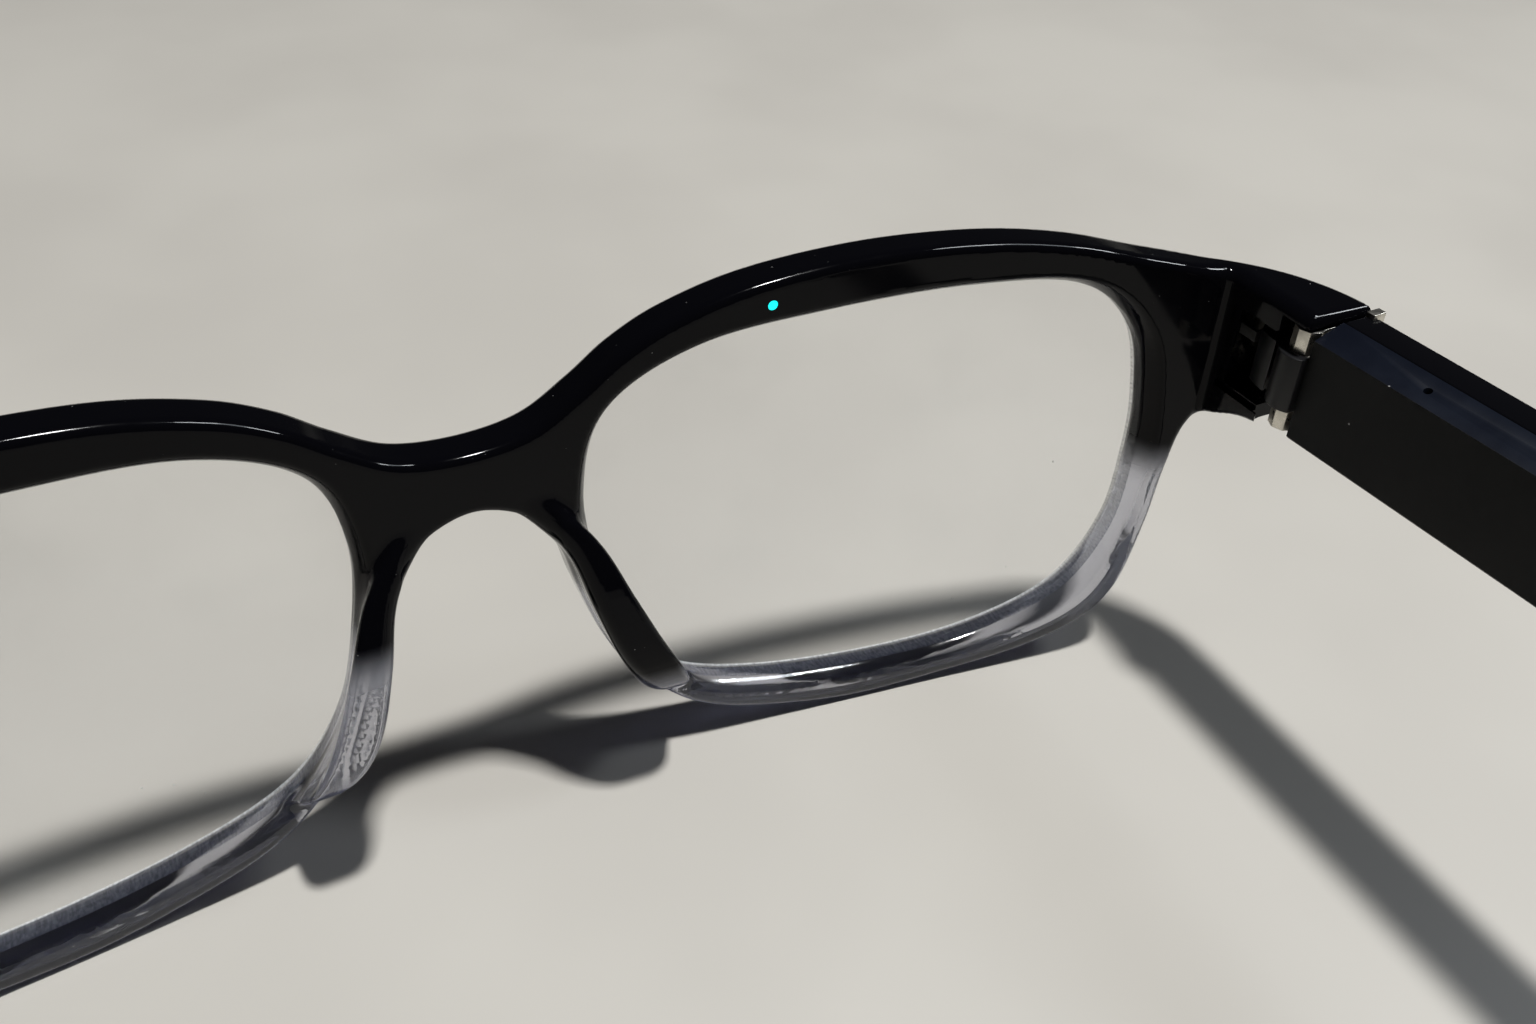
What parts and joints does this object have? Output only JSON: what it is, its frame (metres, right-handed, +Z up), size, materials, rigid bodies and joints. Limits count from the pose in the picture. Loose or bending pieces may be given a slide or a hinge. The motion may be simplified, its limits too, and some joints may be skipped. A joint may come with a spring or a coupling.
{
  "type": "smart glasses",
  "caption": "Full-rim rectangular smart glasses with folding temples that hold battery, board, speakers and microphones, a status light in the upper rim and controls under one temple.",
  "frame": {"origin": "middle of the footprint, on the surface that the lower rims and ear tips rest on", "axes": "+X to the wearer's left, +Y to the rear along the temples, +Z up"},
  "size_m": [0.1558, 0.1536, 0.049],
  "materials": {
    "frame_gloss": "polished, black fading to smoky clear at the lower rims",
    "lens_clear": "clear, polished, anti-reflection coated",
    "light_pipe": "translucent cyan light guide, lit",
    "led_white": "moulded package",
    "copper_flex": "polyimide film over copper",
    "flex_black": "black film over copper",
    "nickel": "satin nickel",
    "steel": "ground",
    "hinge_black": "fine satin moulding",
    "housing_gloss": "polished",
    "cover_charcoal": "fine texture, blue-grey on the top bevel",
    "seal_rubber": "matte",
    "circuit_green": "solder mask",
    "battery_foil": "wrapped foil",
    "mesh_dark": "woven",
    "microphone_can": "plated can",
    "speaker_black": "moulded frame",
    "tip_satin": "satin",
    "gold_contact": "gold plated",
    "magnet_nickel": "plated",
    "button_black": "satin"
  },
  "bodies": {
    "front": {"front_frame": "frame_gloss", "lens_right": "lens_clear", "lens_left": "lens_clear", "status_light_pipe": "light_pipe", "status_led": "led_white", "front_flex": "copper_flex", "hinge_bracket_right": "nickel", "hinge_bracket_left": "nickel", "bracket_screws_right": "nickel", "bracket_screws_left": "nickel", "hinge_pin_right": "steel", "hinge_pin_left": "steel", "hinge_shroud_right": "hinge_black", "hinge_shroud_left": "hinge_black", "hinge_cable_right": "flex_black", "hinge_cable_left": "flex_black"},
    "temple_right": {"temple_housing_right": "housing_gloss", "temple_cover_right": "cover_charcoal", "temple_seal_right": "seal_rubber", "hinge_plate_right": "nickel", "hinge_knuckle_right": "hinge_black", "main_board": "circuit_green", "battery_right": "battery_foil", "antenna": "copper_flex", "touch_sensor": "copper_flex", "microphone_right": "microphone_can", "microphone_mesh_right": "mesh_dark", "speaker_front_right": "speaker_black", "speaker_rear_right": "speaker_black", "speaker_mesh_right": "mesh_dark", "tip_core_right": "steel", "ear_tip_right": "tip_satin", "charging_contacts": "gold_contact", "charging_magnets": "magnet_nickel", "rocker_pin": "steel", "switch_board": "circuit_green"},
    "temple_left": {"temple_housing_left": "housing_gloss", "temple_cover_left": "cover_charcoal", "temple_seal_left": "seal_rubber", "hinge_plate_left": "nickel", "hinge_knuckle_left": "hinge_black", "link_board": "circuit_green", "battery_left": "battery_foil", "microphone_left": "microphone_can", "microphone_mesh_left": "mesh_dark", "speaker_front_left": "speaker_black", "speaker_rear_left": "speaker_black", "speaker_mesh_left": "mesh_dark", "tip_core_left": "steel", "ear_tip_left": "tip_satin"},
    "action_button": {"action_button": "button_black"},
    "volume_rocker": {"volume_rocker": "button_black"}
  },
  "joints": [
    {"name": "temple_fold_right", "type": "hinge", "parent": "front", "child": "temple_right", "pos_m": [-0.068, -0.05733, 0.03724], "axis": [0, 0.0693, -0.9976], "range_deg": [0, 90]},
    {"name": "temple_fold_left", "type": "hinge", "parent": "front", "child": "temple_left", "pos_m": [0.068, -0.05733, 0.03724], "axis": [0, -0.0693, 0.9976], "range_deg": [0, 68]},
    {"name": "action_press", "type": "slide", "parent": "temple_right", "child": "action_button", "axis": [0, -0.0693, 0.9976], "range_m": [0, 0.0004], "stiffness_N_per_m": 600, "springref_m": -0.0005},
    {"name": "volume_tilt", "type": "hinge", "parent": "temple_right", "child": "volume_rocker", "pos_m": [-0.07136, -0.03571, 0.03473], "axis": [-0.9993, -0.0383, -0.0027], "range_deg": [-2, 2], "stiffness_Nm_per_rad": 0.02}
  ]
}
